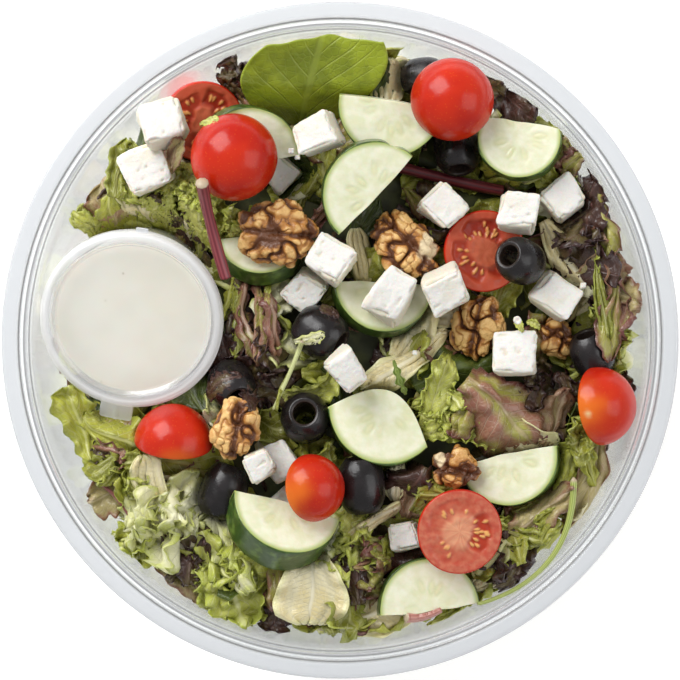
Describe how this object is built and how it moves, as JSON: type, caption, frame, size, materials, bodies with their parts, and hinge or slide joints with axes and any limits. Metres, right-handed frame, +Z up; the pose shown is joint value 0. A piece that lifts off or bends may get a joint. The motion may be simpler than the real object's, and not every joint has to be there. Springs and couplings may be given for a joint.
{
  "type": "greek salad in a clear bowl",
  "caption": "Mixed-leaf salad with feta, olives, cherry tomatoes, cucumber and walnuts in a clear plastic bowl, with a lidded pot of white dressing.",
  "frame": {"origin": "centre of the bowl's foot, on the surface it stands on", "axes": "+Z up out of the bowl; +Y away from the pull tab of the pot, which stands on the -X side"},
  "size_m": [0.216, 0.216, 0.0797],
  "materials": {
    "clear_plastic": "thin clear film-like plastic, glossy",
    "pot_plastic": "milky clear plastic",
    "dressing": "creamy white sauce, satin",
    "leaves": "mixed green, pale and red salad leaves, moist",
    "spinach": "smooth green leaf with paler veins",
    "red_stem": "red leaf stalk, moist",
    "tomato": "red skin, glossy; moist cut face with seeds",
    "olive": "black skin, oily gloss",
    "feta": "white crumbly cheese",
    "cucumber": "pale moist flesh, dark green skin",
    "walnut": "brown kernel skin, pale where broken"
  },
  "bodies": {
    "root": {"bowl": "clear_plastic", "dressing_pot": "pot_plastic", "pot_lid": "pot_plastic", "dressing": "dressing", "salad_leaves": "leaves", "tomato_1": "tomato", "tomato_2": "tomato", "tomato_3": "tomato", "tomato_4": "tomato", "tomato_5": "tomato", "tomato_6": "tomato", "tomato_7": "tomato", "tomato_8": "tomato", "olive_1": "olive", "olive_2": "olive", "olive_3": "olive", "olive_4": "olive", "olive_5": "olive", "olive_6": "olive", "olive_7": "olive", "olive_8": "olive", "olive_9": "olive", "feta_1": "feta", "feta_2": "feta", "feta_3": "feta", "feta_4": "feta", "feta_5": "feta", "feta_6": "feta", "feta_7": "feta", "feta_8": "feta", "feta_9": "feta", "feta_10": "feta", "feta_11": "feta", "feta_12": "feta", "feta_13": "feta", "feta_14": "feta", "feta_15": "feta", "feta_16": "feta", "feta_17": "feta", "feta_18": "feta", "cucumber_1": "cucumber", "cucumber_2": "cucumber", "cucumber_3": "cucumber", "cucumber_4": "cucumber", "cucumber_5": "cucumber", "cucumber_6": "cucumber", "cucumber_7": "cucumber", "cucumber_8": "cucumber", "cucumber_9": "cucumber", "cucumber_10": "cucumber", "walnut_1": "walnut", "walnut_2": "walnut", "walnut_3": "walnut", "walnut_4": "walnut", "walnut_5": "walnut", "walnut_6": "walnut", "red_stem_1": "red_stem", "red_stem_2": "red_stem", "spinach_leaf": "spinach"}
  },
  "joints": []
}
